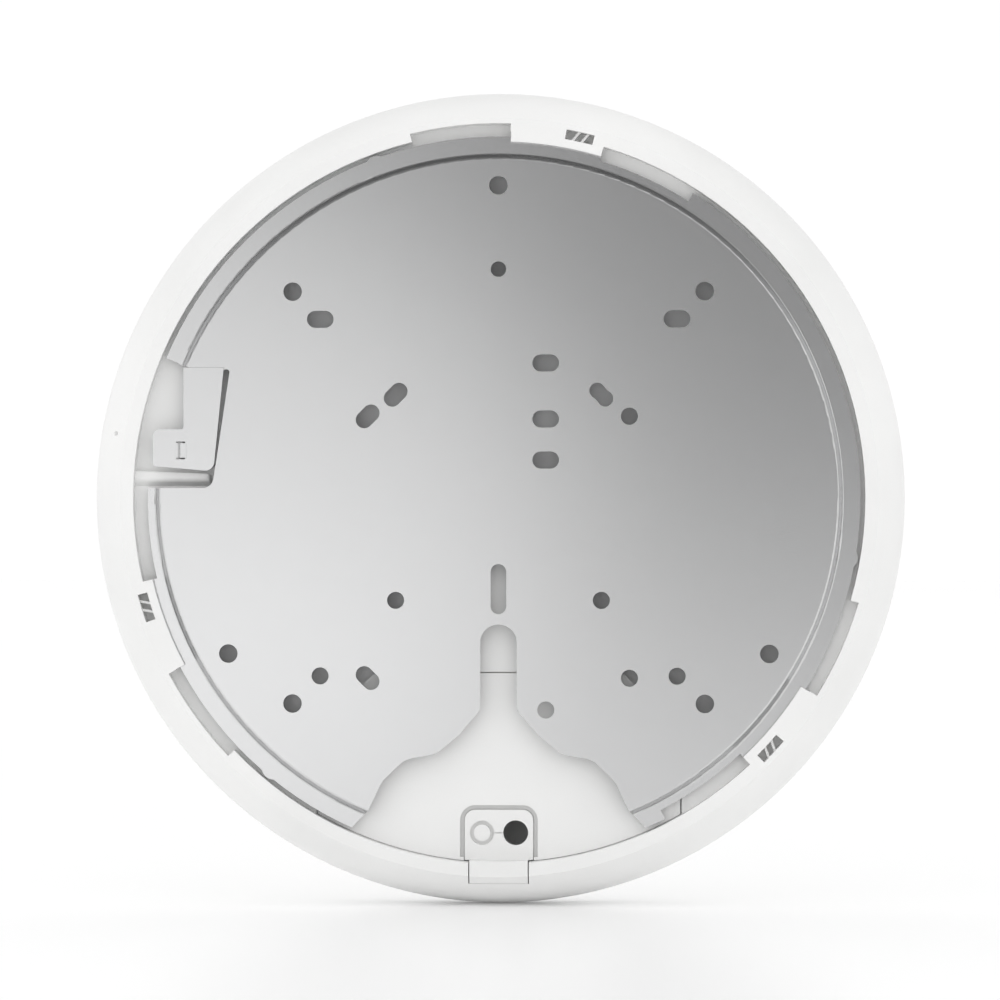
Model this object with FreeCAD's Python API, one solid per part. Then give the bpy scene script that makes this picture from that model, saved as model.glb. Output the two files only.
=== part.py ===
import FreeCAD, Part
import math
import os

V = FreeCAD.Vector

# All sizes are millimetres. X runs to the right and Z up as the back of the unit is
# faced. Y = 0 is the face that lies on the ceiling or wall, and Y grows towards the front.

# ---- mounting plate ----
SHEET = 1.2
DISC_R = 81.6
STEP_DEPTH = 2.0
STEP_WIDTH = 1.1
STEP_BEND = 0.6
RING_R = 84.6
LUG_R = 86.9
LUG_GAP_START = 16.7
LUG_GAP_END = 32.6
LUG_BUMP_ANGLE = 99.8
LUG_BUMP_R = 2.9
LUG_BUMP_REACH = 0.6
BAYONETS = 3

WIDE_HOLE_R = 2.225
SMALL_HOLE_R = 2.05
TOP_HOLE_R = 1.85
SLOT_LENGTH = 6.4
PCD_THREE = 150.0
PCD_FOUR = 140.0
TOP_HOLE_Z = 54.85
BOX_SQUARE = 85.7
GANG_X = 11.35
GANG_LOW_Z = -51.0
GANG_SPACINGS = (83.3, 69.85, 60.0)
SMALL_DIAGONAL = 69.85
LARGE_DIAGONAL = 88.9
LARGE_DIAGONAL_Z = -11.93
KEY_SLOT_Z = -22.0
KEY_SLOT_LENGTH = 12.0
KEY_SLOT_WIDTH = 3.77
DOUBLE_HOLE_SHIFT = 1.35
DOUBLE_HOLE_WAIST = 3.5

NECK_HALF = 4.4
NECK_TOP = -30.5
BELL_SHOULDER = 31.3

# ---- lock arm ----
ARM_ROOT_Z = 31.3
ARM_TILT = 0.8
ARM_ROOT_GAP = 0.04
ARM_LEFT = -75.8
ARM_TIP_LEFT = -83.2
ARM_TIP_TOP = 16.4
SLIT_TOP_R = 0.75
SLIT_FOOT_R = 0.3
DIMPLE_X = -76.5
DIMPLE_Z = 11.35
DIMPLE_DEPTH = 0.6
DIMPLE_LENGTH = 3.9
DIMPLE_BEND = 2.2
DIMPLE_SLIT = 0.4

# ---- housing ----
OUTER_R = 98.5
RIM_FACE_Y = 0.4
RIM_R = 91.2
LIP_R = 88.0
WIDEST_Y = 16.0
WALL = 2.2
FLOOR_Y = 4.6
FLOOR_T = 1.8
FLOOR_INNER_R = 77.6
SEAM = 0.3
TAB_R = 85.6
TAB_T = 1.3
TAB_START = 2.0
TAB_END = 16.7
WINDOW_START = 10.5
WINDOW_END = 14.9
WINDOW_IN_R = 87.6
WINDOW_OUT_R = 90.0
WINDOW_DEPTH = 5.0
WINDOW_RIB_Y = 2.2
WINDOW_RIB_T = 0.6
NOTCH_START = -13.7
NOTCH_END = 1.9
NOTCH_R = 90.0
WEDGE_TOP = -12.0
RIB_TOP_Y = 3.0
RIB_LOW_Z = 2.7
RIB_CREST_Z = 4.2
RIB_HIGH_Z = 6.6
RIB_NARROWING = 0.9
RIB_RIGHT = -69.4
RIB_ROUND = 0.8
RELEASE_ANGLE = 279.5
RELEASE_Y = 2.9
RELEASE_R = 0.6

# ---- bay lid and cable gland ----
LID_TOP_Z = -42.3
LID_T = 2.0
LID_HALF = 43.7
LID_EDGE_R = 87.85
GLAND_HALF = 8.25
GLAND_TOP_Z = -75.25
GLAND_GAP = 0.2
GLAND_EDGE_R = 87.7
GLAND_LEDGE = 0.5
GLAND_LEDGE_T = 0.6
GLAND_SEAT_GAP = 0.05
GROOVE_WIDTH = 1.1
GROOVE_DEPTH = 1.1
GLAND_CORNER = 2.5
GLAND_RIM_HALF = 7.02
GLAND_RIM_GAP = 0.25
GLAND_END_GAP = 0.05
GLAND_LOW_Z = -92.8
GLAND_STEP_Z = -86.6
GLAND_X = 4.05
GLAND_Z = -80.8
CABLE_HOLE_R = 3.0
KNOCKOUT_IN_R = 2.0
KNOCKOUT_OUT_R = 2.92

# ---- front ----
FRONT_Y = 35.0
CROWN_R = 500.0
COVER_T = 2.2
LIGHT_IN_R = 26.2
LIGHT_OUT_R = 29.6
LIGHT_GAP = 0.2
LIGHT_FLANGE = 3.0

SNAPS = 6
CATCH_R = 93.7
CATCH_Y = 11.0
HOOK_IN_R = 91.9
HOOK_T = 1.4

# ---- inside ----
BASE_Y = 6.9
BASE_T = 1.5
BASE_R = 82.5
PEDESTAL = 1.0
BOARD_Y = 13.0
BOARD_T = 1.6
BOARD_R = 72.0
BAY_HALF = 17.5
BAY_TOP_Z = -48.0
BAY_LOW_Z = -86.0
BAY_DEEP_Y = 22.0
BAY_WALL = 1.5
JACK_HALF = 8.1
JACK_LOW_Y = 7.0
JACK_HIGH_Y = 20.0
JACK_FACE_Z = -48.8
JACK_LENGTH = 21.5
CARRIER_Y = 16.0
CARRIER_T = 1.6
ANTENNA_R = 81.0
ANTENNA_T = 0.4
LED_BOARD_Y = FRONT_Y - 7.2
LED_BOARD_T = 1.2
LEAD_R = 0.57
BUTTON_R = 1.5
BUTTON_X = 12.6
BUTTON_Y = 10.6
BUTTON_FIT = 0.08
BUTTON_TRAVEL = 0.4


def drum(radius, low, high, x=0.0, z=0.0):
    return Part.makeCylinder(radius, high - low, V(x, low, z), V(0, 1, 0))


def pipe_ring(inner, outer, low, high, x=0.0, z=0.0):
    return drum(outer, low, high, x, z).cut(drum(inner, low - 1, high + 1, x, z))


def block(x0, x1, y0, y1, z0, z1):
    return Part.makeBox(x1 - x0, y1 - y0, z1 - z0, V(x0, y0, z0))


def spot(radius, angle):
    turn = math.radians(angle)
    return radius * math.sin(turn), radius * math.cos(turn)


def turned_by(shape, angle):
    copy = shape.copy()
    copy.rotate(V(0, 0, 0), V(0, 1, 0), angle)
    return copy


def around(shape, count=BAYONETS, start=0.0):
    return [turned_by(shape, start + 360.0 * step / count) for step in range(count)]


def rounded_wire(corners, place):
    """Closed outline through corners (a, b, radius), with tangent arcs at the corners."""
    count = len(corners)
    joints = []
    for index in range(count):
        a, b, radius = corners[index]
        before = corners[index - 1]
        after = corners[(index + 1) % count]
        here = V(a, b, 0)
        back = V(before[0], before[1], 0).sub(here).normalize()
        ahead = V(after[0], after[1], 0).sub(here).normalize()
        if radius <= 0:
            joints.append((here, None, here))
            continue
        half = back.getAngle(ahead) / 2.0
        reach = radius / math.tan(half)
        start = here.add(V(back).multiply(reach))
        end = here.add(V(ahead).multiply(reach))
        inward = back.add(ahead).normalize()
        mid = here.add(inward.multiply(radius / math.sin(half) - radius))
        joints.append((start, mid, end))
    edges = []
    for index in range(count):
        start, mid, end = joints[index]
        if mid is not None:
            edges.append(Part.Arc(place(start), place(mid), place(end)).toShape())
        following = joints[(index + 1) % count][0]
        if end.distanceToPoint(following) > 1e-6:
            edges.append(Part.LineSegment(place(end), place(following)).toShape())
    return Part.Wire(edges)


def slab(corners, low, high):
    """Flat piece with an X, Z outline, from Y low to Y high."""
    wire = rounded_wire(corners, lambda p: V(p.x, low, p.y))
    return Part.Face(wire).extrude(V(0, high - low, 0))


def turning(corners):
    """Solid of revolution about Y from a radius, Y outline."""
    wire = rounded_wire(corners, lambda p: V(p.x, p.y, 0))
    return Part.Face(wire).revolve(V(0, 0, 0), V(0, 1, 0), 360)


def sector(inner, outer, start, end, low, high):
    """Piece of a ring between two angles measured clockwise from the top."""
    span = end - start
    face_points = [V(inner, low, 0), V(outer, low, 0), V(outer, high, 0), V(inner, high, 0)]
    face_points.append(face_points[0])
    face = Part.Face(Part.makePolygon(face_points))
    piece = face.revolve(V(0, 0, 0), V(0, 1, 0), span)
    return turned_by(piece, start - 90.0)


def slot(x, z, length, width, angle, low, high):
    """Round-ended slot whose long axis is turned up from X by angle."""
    half = (length - width) / 2.0
    run = math.radians(angle)
    dx = half * math.cos(run)
    dz = half * math.sin(run)
    ends = drum(width / 2, low, high, x + dx, z + dz).fuse(
        drum(width / 2, low, high, x - dx, z - dz))
    bar = block(-half, half, low, high, -width / 2, width / 2)
    bar.rotate(V(0, 0, 0), V(0, 1, 0), -angle)
    bar.translate(V(x, 0, z))
    return ends.fuse(bar)


def fused(shapes):
    body = shapes[0]
    if len(shapes) > 1:
        body = body.multiFuse(shapes[1:])
    return body.removeSplitter()


def save(name, shape):
    if isinstance(shape, list):
        shape = Part.makeCompound(shape)
    shape.exportStep("parts/" + name + ".step")


def route(points, bend, radius):
    """Round lead through the points, straight runs joined by tangent arcs."""
    path = [V(*p) for p in points]
    edges = []
    at = path[0]
    for index in range(1, len(path) - 1):
        here = path[index]
        back = path[index - 1].sub(here).normalize()
        ahead = path[index + 1].sub(here).normalize()
        half = back.getAngle(ahead) / 2.0
        reach = bend / math.tan(half)
        start = here.add(V(back).multiply(reach))
        end = here.add(V(ahead).multiply(reach))
        mid = here.add(back.add(ahead).normalize().multiply(bend / math.sin(half) - bend))
        edges.append(Part.LineSegment(at, start).toShape())
        edges.append(Part.Arc(start, mid, end).toShape())
        at = end
    edges.append(Part.LineSegment(at, path[-1]).toShape())
    wire = Part.Wire(edges)
    first = path[1].sub(path[0])
    ring = Part.Wire(Part.makeCircle(radius, path[0], first))
    return wire.makePipeShell([ring], True, False)


# ---------------------------------------------------------------- mounting plate

def double_hole(x, z, low, high):
    """Two overlapping holes on a falling diagonal, with the waist between them."""
    step = DOUBLE_HOLE_SHIFT * math.sqrt(0.5)
    return [drum(SMALL_HOLE_R - 0.15, low, high, x - step, z + step),
            drum(SMALL_HOLE_R - 0.15, low, high, x + step, z - step),
            slot(x, z, 2 * DOUBLE_HOLE_SHIFT + DOUBLE_HOLE_WAIST, DOUBLE_HOLE_WAIST, -45, low, high)]


def plate_holes(low, high):
    """All the screw holes of the plate as cutters."""
    cuts = []
    for step in range(3):
        x, z = spot(PCD_THREE / 2, 120.0 * step)
        cuts.append(drum(WIDE_HOLE_R, low, high, x, z))
    for step in range(4):
        x, z = spot(PCD_FOUR / 2, 45.0 + 90.0 * step)
        cuts.append(drum(WIDE_HOLE_R, low, high, x, z))
    cuts.append(drum(TOP_HOLE_R, low, high, 0, TOP_HOLE_Z))
    half = BOX_SQUARE / 2
    width = 2 * SMALL_HOLE_R
    for side in (-1, 1):
        cuts.append(slot(side * half, half, SLOT_LENGTH, width, 0, low, high))
        cuts.append(drum(SMALL_HOLE_R, low, high, side * half, -half))
        near = SMALL_DIAGONAL / 2 * math.sqrt(0.5)
        cuts.append(drum(SMALL_HOLE_R, low, high, side * near, -near))
    cuts.append(slot(-near, near, SLOT_LENGTH, width, 45, low, high))
    cuts += double_hole(near, near, low, high)
    for spacing in GANG_SPACINGS:
        cuts.append(slot(GANG_X, GANG_LOW_Z + spacing, SLOT_LENGTH, width, 0, low, high))
    cuts.append(drum(SMALL_HOLE_R, low, high, GANG_X, GANG_LOW_Z))
    far = LARGE_DIAGONAL / 2 * math.sqrt(0.5)
    cuts.append(slot(-far, LARGE_DIAGONAL_Z + far, SLOT_LENGTH, width, 45, low, high))
    cuts.append(slot(-far, LARGE_DIAGONAL_Z - far, SLOT_LENGTH, width, -45, low, high))
    cuts.append(drum(SMALL_HOLE_R, low, high, far, LARGE_DIAGONAL_Z + far))
    cuts.append(drum(SMALL_HOLE_R, low, high, far, LARGE_DIAGONAL_Z - far))
    cuts.append(slot(0, KEY_SLOT_Z, KEY_SLOT_LENGTH, KEY_SLOT_WIDTH, 90, low, high))
    return cuts


def bell_cut(low, high):
    """Bell-shaped opening over the cable gland, with its narrow neck going up."""
    right = [(NECK_HALF, -51.0, 2.5), (9.5, -57.0, 4.0), (15.0, -61.6, 6.0),
             (22.5, -62.9, 6.0), (28.0, -68.2, 7.0), (BELL_SHOULDER, -75.2, 4.0),
             (36.5, -80.5, 0.0), (36.5, -95.0, 0.0)]
    left = [(-x, z, r) for x, z, r in reversed(right)]
    bell = slab(right + left + [(-NECK_HALF, NECK_TOP - NECK_HALF, 0.0),
                                (NECK_HALF, NECK_TOP - NECK_HALF, 0.0)], low, high)
    arch = drum(NECK_HALF, low, high, 0, NECK_TOP - NECK_HALF)
    return bell.fuse(arch)


def slit_cut(low, high):
    """Tapered slit along the right side of the lock arm."""
    top = (-65.45, 30.1, SLIT_TOP_R)
    foot = (-68.3, 8.0, SLIT_FOOT_R)
    bar = slab([(top[0] - top[2], top[1], 0), (top[0] + top[2], top[1], 0),
                (foot[0] + foot[2], foot[1], 0), (foot[0] - foot[2], foot[1], 0)], low, high)
    return fused([bar, drum(top[2], low, high, top[0], top[1]),
                  drum(foot[2], low, high, foot[0], foot[1])])


def arm_window(low, high):
    """Opening in the plate that the lock arm lies in."""
    return slab([(ARM_LEFT - 0.5, ARM_ROOT_Z + 0.5, 0), (-74.2, ARM_ROOT_Z, 0),
                 (-66.05, ARM_ROOT_Z, 0), (-66.05, 30.0, 0), (-67.9, 9.0, 4.0),
                 (-68.9, 2.3, 2.6), (-95.0, 2.3, 0),
                 (-95.0, 39.9, 0), (-77.4, 32.5, 0.4)], low, high)


def mounting_plate():
    drop = STEP_DEPTH
    bend = STEP_BEND
    inside = DISC_R - SHEET * 0.5
    body = turning([(0, 0, 0), (DISC_R, 0, bend), (DISC_R + STEP_WIDTH, drop, bend),
                    (LUG_R, drop, 0), (LUG_R, drop + SHEET, 0),
                    (inside + STEP_WIDTH, drop + SHEET, bend), (inside, SHEET, bend),
                    (0, SHEET, 0)])
    bump = drum(LUG_BUMP_R, drop, drop + SHEET, 0, LUG_R + LUG_BUMP_REACH - LUG_BUMP_R)
    body = fused([body] + around(bump, BAYONETS, LUG_BUMP_ANGLE))
    gap = sector(RING_R, LUG_R + 2, LUG_GAP_START, LUG_GAP_END, -1, drop + SHEET + 1)
    cuts = around(gap)
    cuts += plate_holes(-1, drop + SHEET + 1)
    cuts.append(bell_cut(-1, drop + SHEET + 1))
    cuts.append(slit_cut(-1, drop + SHEET + 1))
    cuts.append(arm_window(-1, drop + SHEET + 1))
    return body.cut(cuts).removeSplitter()


def lock_arm():
    """Spring finger of the plate, its tip leaning in from the plate's plane."""
    top = ARM_ROOT_Z - ARM_ROOT_GAP
    body = slab([(ARM_LEFT, top, 0), (-66.1, top, 0), (-68.62, 6.3, 2.2),
                 (ARM_TIP_LEFT, 7.6, 0.8), (ARM_TIP_LEFT, ARM_TIP_TOP, 1.8),
                 (ARM_LEFT, ARM_TIP_TOP, 0.7)], 0, SHEET)
    centre_y = DIMPLE_DEPTH - DIMPLE_BEND
    start = V(DIMPLE_X, centre_y, DIMPLE_Z - DIMPLE_LENGTH / 2)
    well = Part.makeCylinder(DIMPLE_BEND, DIMPLE_LENGTH, start, V(0, 0, 1))
    boss = Part.makeCylinder(DIMPLE_BEND + SHEET, DIMPLE_LENGTH, start, V(0, 0, 1))
    boss = boss.common(block(-90, -60, SHEET / 2, 5, 0, 40))
    ends = [slot(DIMPLE_X, DIMPLE_Z + side * DIMPLE_LENGTH / 2, 2.2, DIMPLE_SLIT, 0, -1, 5)
            for side in (-1, 1)]
    body = body.fuse(boss).cut([well] + ends).removeSplitter()
    body.rotate(V(0, 0, ARM_ROOT_Z), V(1, 0, 0), ARM_TILT)
    return body.cut(block(-90, -60, -1, 5, top, top + 2))


# ---------------------------------------------------------------- white housing

def back_curve_r(y):
    """Outer radius of the rear shell at depth y."""
    rise = WIDEST_Y - RIM_FACE_Y
    step = OUTER_R - RIM_R
    bend = (step * step + rise * rise) / (2 * step)
    return OUTER_R - bend + math.sqrt(bend * bend - (WIDEST_Y - y) ** 2)


def shell_blank():
    """Rim, curved side wall and floor ring as one turned blank."""
    low = FLOOR_Y + FLOOR_T
    end = WIDEST_Y - SEAM / 2
    mid = (RIM_FACE_Y + end) / 2
    inner_mid = (low + end) / 2
    corner = back_curve_r(low) - WALL
    outer = Part.Arc(V(RIM_R, RIM_FACE_Y, 0), V(back_curve_r(mid), mid, 0),
                     V(back_curve_r(end), end, 0)).toShape()
    inner = Part.Arc(V(back_curve_r(end) - WALL, end, 0),
                     V(back_curve_r(inner_mid) - WALL, inner_mid, 0),
                     V(corner, low, 0)).toShape()
    rest = Part.makePolygon([V(corner, low, 0), V(FLOOR_INNER_R, low, 0),
                             V(FLOOR_INNER_R, FLOOR_Y, 0), V(LIP_R, FLOOR_Y, 0),
                             V(LIP_R, RIM_FACE_Y, 0), V(RIM_R, RIM_FACE_Y, 0)])
    bridge = Part.LineSegment(V(back_curve_r(end), end, 0),
                              V(back_curve_r(end) - WALL, end, 0)).toShape()
    wire = Part.Wire([outer, bridge, inner] + rest.Edges)
    return Part.Face(wire).revolve(V(0, 0, 0), V(0, 1, 0), 360)


def lid_outline(grow):
    """Lid corners, grown outwards by a clearance."""
    half = LID_HALF + grow
    top = LID_TOP_Z + grow
    slope_x = 30.0 + grow
    return [(-slope_x, top, 1.5), (slope_x, top, 1.5), (half, top - (LID_HALF - 30.0), 2.0),
            (half, -100.0, 0), (-half, -100.0, 0), (-half, top - (LID_HALF - 30.0), 2.0)]


def gland_outline(grow, low):
    """Gland face corners down to low, grown outwards by a clearance."""
    half = GLAND_HALF + grow
    top = GLAND_TOP_Z + grow
    bend = GLAND_CORNER + grow
    return [(-half, top, bend), (half, top, bend), (half, low, 0), (-half, low, 0)]


def rim_slot(low, high):
    half = GLAND_RIM_HALF + GLAND_RIM_GAP
    return block(-half, half, low, high, GLAND_LOW_Z - GLAND_END_GAP, -70.0)


def tab_window():
    """Pocket in a tab, as a cutter that leaves two thin slanted ribs standing."""
    pocket = sector(WINDOW_IN_R, WINDOW_OUT_R, WINDOW_START, WINDOW_END, -1, WINDOW_DEPTH)
    ribs = []
    for share in (0.36, 0.68):
        x, z = spot((WINDOW_IN_R + WINDOW_OUT_R) / 2,
                    WINDOW_START + share * (WINDOW_END - WINDOW_START))
        ribs.append(slot(x, z, 6.0, WINDOW_RIB_T, 50, WINDOW_RIB_Y, WINDOW_DEPTH + 1))
    return pocket.cut(ribs)


def stop_rib():
    """Stop of the twist: a rounded rib with a long sloping lower flank."""
    left = -LIP_R - 0.6
    low_y = FLOOR_Y + 0.5
    across = rounded_wire([(low_y, RIB_LOW_Z - 0.3, 0), (RIB_TOP_Y, RIB_CREST_Z, 1.5),
                           (RIB_TOP_Y, RIB_HIGH_Z, RIB_ROUND), (low_y, RIB_HIGH_Z, 0)],
                          lambda p: V(left, p.x, p.y))
    along = rounded_wire([(left, low_y, 0), (left, RIB_TOP_Y, 0),
                          (RIB_RIGHT, RIB_TOP_Y, 1.3), (RIB_RIGHT, low_y, 0)],
                         lambda p: V(p.x, p.y, 0))
    rib = Part.Face(across).extrude(V(RIB_RIGHT - left, 0, 0))
    rib = rib.common(Part.Face(along).extrude(V(0, 0, RIB_HIGH_Z + 1)))
    return rib.common(slab([(left, RIB_LOW_Z, 0), (RIB_RIGHT, RIB_LOW_Z, 1.6),
                            (RIB_RIGHT, RIB_HIGH_Z - RIB_NARROWING, 1.0), (left, RIB_HIGH_Z, 0)],
                           RIB_TOP_Y - 1, low_y))


def rear_shell():
    body = shell_blank()
    tab = sector(TAB_R, LIP_R + 1, TAB_START, TAB_END, RIM_FACE_Y, RIM_FACE_Y + TAB_T)
    web = sector(LIP_R - 0.5, LIP_R + 0.5, TAB_START, TAB_END, RIM_FACE_Y, FLOOR_Y)
    wedge = slab([(0, WEDGE_TOP, 4.0), (OUTER_R, WEDGE_TOP - OUTER_R, 0),
                  (-OUTER_R, WEDGE_TOP - OUTER_R, 0)], FLOOR_Y, FLOOR_Y + FLOOR_T)
    wedge = wedge.common(drum(FLOOR_INNER_R + 0.5, FLOOR_Y, FLOOR_Y + FLOOR_T))
    wedge = wedge.cut(block(-LID_HALF, LID_HALF, 0, 20, LID_TOP_Z - 5, 0))
    foot = slab([(-FLOOR_INNER_R - 1, RIB_LOW_Z - 1, 0), (RIB_RIGHT + 1.0, RIB_LOW_Z - 1, 1.0),
                 (RIB_RIGHT + 1.0, RIB_HIGH_Z + 1, 1.0), (-FLOOR_INNER_R - 1, RIB_HIGH_Z + 1, 0)],
                FLOOR_Y, FLOOR_Y + FLOOR_T)
    catch = sector(CATCH_R, OUTER_R - 2.6, -4.5, 4.5, CATCH_Y, CATCH_Y + 1.4)
    catches = around(catch, SNAPS, 15.0)
    body = fused([body, wedge, stop_rib(), foot] + around(tab) + around(web) + catches)
    cuts = around(tab_window())
    cuts += around(sector(LIP_R - 1, NOTCH_R, NOTCH_START, NOTCH_END, -1, FLOOR_Y))
    x, z = spot(LIP_R - 2, RELEASE_ANGLE)
    outward = V(x, 0, z).normalize()
    cuts.append(Part.makeCylinder(RELEASE_R, 20, V(x, RELEASE_Y, z), outward))
    lid_room = slab(lid_outline(SEAM), FLOOR_Y - 0.01, FLOOR_Y + 3).common(
        drum(LIP_R, FLOOR_Y - 0.01, FLOOR_Y + FLOOR_T + 0.5))
    cuts.append(lid_room)
    cuts.append(rim_slot(-1, FLOOR_Y + LID_T + 0.6))
    for step in range(8):
        sx, sz = spot(BASE_R - 2.6, 22.5 + 45.0 * step)
        cuts.append(drum(1.25, FLOOR_Y + 0.5, FLOOR_Y + FLOOR_T + 1, sx, sz))
    return body.cut(cuts).removeSplitter()


def jack_cover():
    """Fixed cover over the jack, above the lid and level with it."""
    low_z = LID_TOP_Z + SEAM
    reach = WEDGE_TOP - low_z
    return slab([(0, WEDGE_TOP, 4.0), (reach, low_z, 0.8), (-reach, low_z, 0.8)],
                FLOOR_Y, BASE_Y)


def bay_lid():
    high = FLOOR_Y + LID_T
    body = slab(lid_outline(0), FLOOR_Y, high).common(drum(LID_EDGE_R, FLOOR_Y, high))
    ledge_y = high - GLAND_LEDGE_T
    opening = slab(gland_outline(GLAND_GAP, -95.0), FLOOR_Y - 1, ledge_y)
    inner = slab(gland_outline(-GLAND_LEDGE, -95.0), ledge_y - 0.1, high + 1)
    groove = slab(gland_outline(GROOVE_WIDTH, GLAND_STEP_Z), FLOOR_Y - 1, FLOOR_Y + GROOVE_DEPTH)
    return body.cut([opening, inner, groove])


def cable_gland():
    """Plug in the rim with an open cable hole and a ring-cut spare one."""
    high = FLOOR_Y + LID_T
    seat_y = high - GLAND_LEDGE_T - GLAND_SEAT_GAP
    face = slab(gland_outline(0, -95.0), FLOOR_Y, seat_y)
    plug = slab(gland_outline(-GLAND_LEDGE - GLAND_GAP, -95.0), seat_y - 0.1, high)
    face = face.fuse(plug).common(drum(GLAND_EDGE_R, FLOOR_Y, high))
    half = GLAND_RIM_HALF
    rim = block(-half, half, RIM_FACE_Y, high, GLAND_LOW_Z, GLAND_STEP_Z + 0.5)
    curve = turning([(LIP_R - 0.6, RIM_FACE_Y, 0), (RIM_R, RIM_FACE_Y, 0),
                     (back_curve_r(1.2), 1.2, 0), (back_curve_r(2.4), 2.4, 0),
                     (back_curve_r(3.6), 3.6, 0), (back_curve_r(5.2), 5.2, 0),
                     (back_curve_r(high), high, 0), (LIP_R - 0.6, high, 0)])
    foot = block(-half, half, FLOOR_Y, high, -88.5, GLAND_STEP_Z + 0.5)
    body = fused([face, rim.common(curve), foot])
    hole = drum(CABLE_HOLE_R, FLOOR_Y - 1, high + 1, GLAND_X, GLAND_Z)
    groove = pipe_ring(KNOCKOUT_IN_R, KNOCKOUT_OUT_R, FLOOR_Y - 1, FLOOR_Y + 1.2,
                       -GLAND_X, GLAND_Z)
    split = block(-GLAND_X + KNOCKOUT_IN_R, GLAND_X, FLOOR_Y - 1, FLOOR_Y + 0.5,
                  GLAND_Z - 0.12, GLAND_Z + 0.12)
    return body.cut([hole, groove, split]).removeSplitter()


# ---------------------------------------------------------------- front cover

def crown_y(radius):
    return FRONT_Y - CROWN_R + math.sqrt(CROWN_R * CROWN_R - radius * radius)


def light_seat_y():
    """Level at which the cap and the cover rest on the flange of the light ring."""
    return crown_y(LIGHT_OUT_R + LIGHT_FLANGE + 0.6) - COVER_T - 0.2


def front_blank(shrink, seam_y):
    """Domed solid under the front surface, moved in by shrink, down to seam_y."""
    top = FRONT_Y - shrink
    side = OUTER_R - shrink
    crown = CROWN_R - shrink
    level = WIDEST_Y + SEAM
    tall = level - (top - crown)
    bend = (crown * crown - tall * tall - side * side) / (2 * (crown - side))
    share = crown / (crown - bend)
    tx = (side - bend) * share
    ty = (top - crown) + tall * share
    mid_angle = math.atan2(ty - level, tx - (side - bend)) / 2
    mx = side - bend + bend * math.cos(mid_angle)
    my = level + bend * math.sin(mid_angle)
    hx = tx / 2
    hy = top - crown + math.sqrt(crown * crown - hx * hx)
    dome = Part.Arc(V(0, top, 0), V(hx, hy, 0), V(tx, ty, 0)).toShape()
    edge = Part.Arc(V(tx, ty, 0), V(mx, my, 0), V(side, level, 0)).toShape()
    rest = Part.makePolygon([V(side, level, 0), V(side, seam_y, 0), V(0, seam_y, 0),
                             V(0, top, 0)])
    wire = Part.Wire([dome, edge] + rest.Edges)
    return Part.Face(wire).revolve(V(0, 0, 0), V(0, 1, 0), 360)


def front_cover():
    seam_y = WIDEST_Y + SEAM / 2
    body = front_blank(0, seam_y).cut(front_blank(COVER_T, seam_y - 1))
    inner = OUTER_R - COVER_T - 0.4
    skirt = pipe_ring(inner - 1.4, inner, WIDEST_Y - 2.4, WIDEST_Y + 2.6)
    neck = pipe_ring(inner - 0.4, OUTER_R - 1.0, seam_y, seam_y + 1.6)
    seat = pipe_ring(LIGHT_OUT_R, LIGHT_OUT_R + LIGHT_FLANGE + 0.6, light_seat_y(),
                     light_seat_y() + 1.0)
    body = fused([body, skirt, neck, seat])
    leg_out = HOOK_IN_R + HOOK_T
    leg = sector(HOOK_IN_R, leg_out, -4, 4, CATCH_Y - 2.0, WIDEST_Y + 2.6)
    barb = sector(leg_out - 0.2, leg_out + 1.0, -4, 4, CATCH_Y - 2.0, CATCH_Y - 0.3)
    bridge = sector(HOOK_IN_R, inner - 1.3, -4, 4, WIDEST_Y + 1.0, WIDEST_Y + 2.6)
    hook = fused([leg, barb, bridge])
    body = fused([body] + around(hook, SNAPS, 15.0))
    return body.cut(drum(LIGHT_OUT_R + LIGHT_GAP, WIDEST_Y, FRONT_Y + 5)).removeSplitter()


def front_cap():
    whole = drum(LIGHT_IN_R - LIGHT_GAP, light_seat_y(), FRONT_Y + 1)
    return front_blank(0, WIDEST_Y).common(whole)


def led_light_ring():
    """Clear ring set in the front, with a flange behind the cap and the cover."""
    seat = light_seat_y()
    flange = pipe_ring(LIGHT_IN_R - 3.4, LIGHT_OUT_R + LIGHT_FLANGE, seat - 1.4, seat)
    ridge = pipe_ring(LIGHT_IN_R, LIGHT_OUT_R, seat - 0.2, FRONT_Y + 1)
    ridge = ridge.common(front_blank(0.15, WIDEST_Y))
    return fused([flange, ridge])


# ---------------------------------------------------------------- inside

POSTS = [(24.0, 57.0), (56.0, 26.0), (-56.0, 26.0), (50.0, -42.0), (-50.0, -42.0), (0.0, -17.0)]
SHIELDS = [("processor_shield", 0.0, 27.0, 36.0, 44.0),
           ("low_band_shield", -36.5, 2.0, 27.0, 34.0),
           ("high_band_shield", 36.5, 2.0, 27.0, 34.0)]
SHIELD_H = 2.6
SHIELD_T = 0.3
CHIP_H = 1.4


def base_posts(radius, low, high):
    return [drum(radius, low, high, x, z) for x, z in POSTS]


def metal_base():
    high = BASE_Y + BASE_T
    body = drum(BASE_R, BASE_Y, high)
    shapes = [body] + base_posts(3.2, high - 0.5, BOARD_Y)
    for name, x, z, width, tall in SHIELDS:
        shapes.append(block(x - width / 2 + 3, x + width / 2 - 3, high - 0.5, high + PEDESTAL,
                            z - tall / 2 + 3, z + tall / 2 - 3))
    body = fused(shapes)
    half = BAY_HALF + 0.5
    cuts = [block(-half, half, 0, 30, -90, JACK_FACE_Z + JACK_LENGTH + 0.8)]
    cuts += base_posts(1.25, BOARD_Y - 4.5, BOARD_Y + 1)
    for step in range(8):
        x, z = spot(BASE_R - 2.6, 22.5 + 45.0 * step)
        cuts.append(drum(1.7, 0, high + 1, x, z))
    return body.cut(cuts).removeSplitter()


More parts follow.
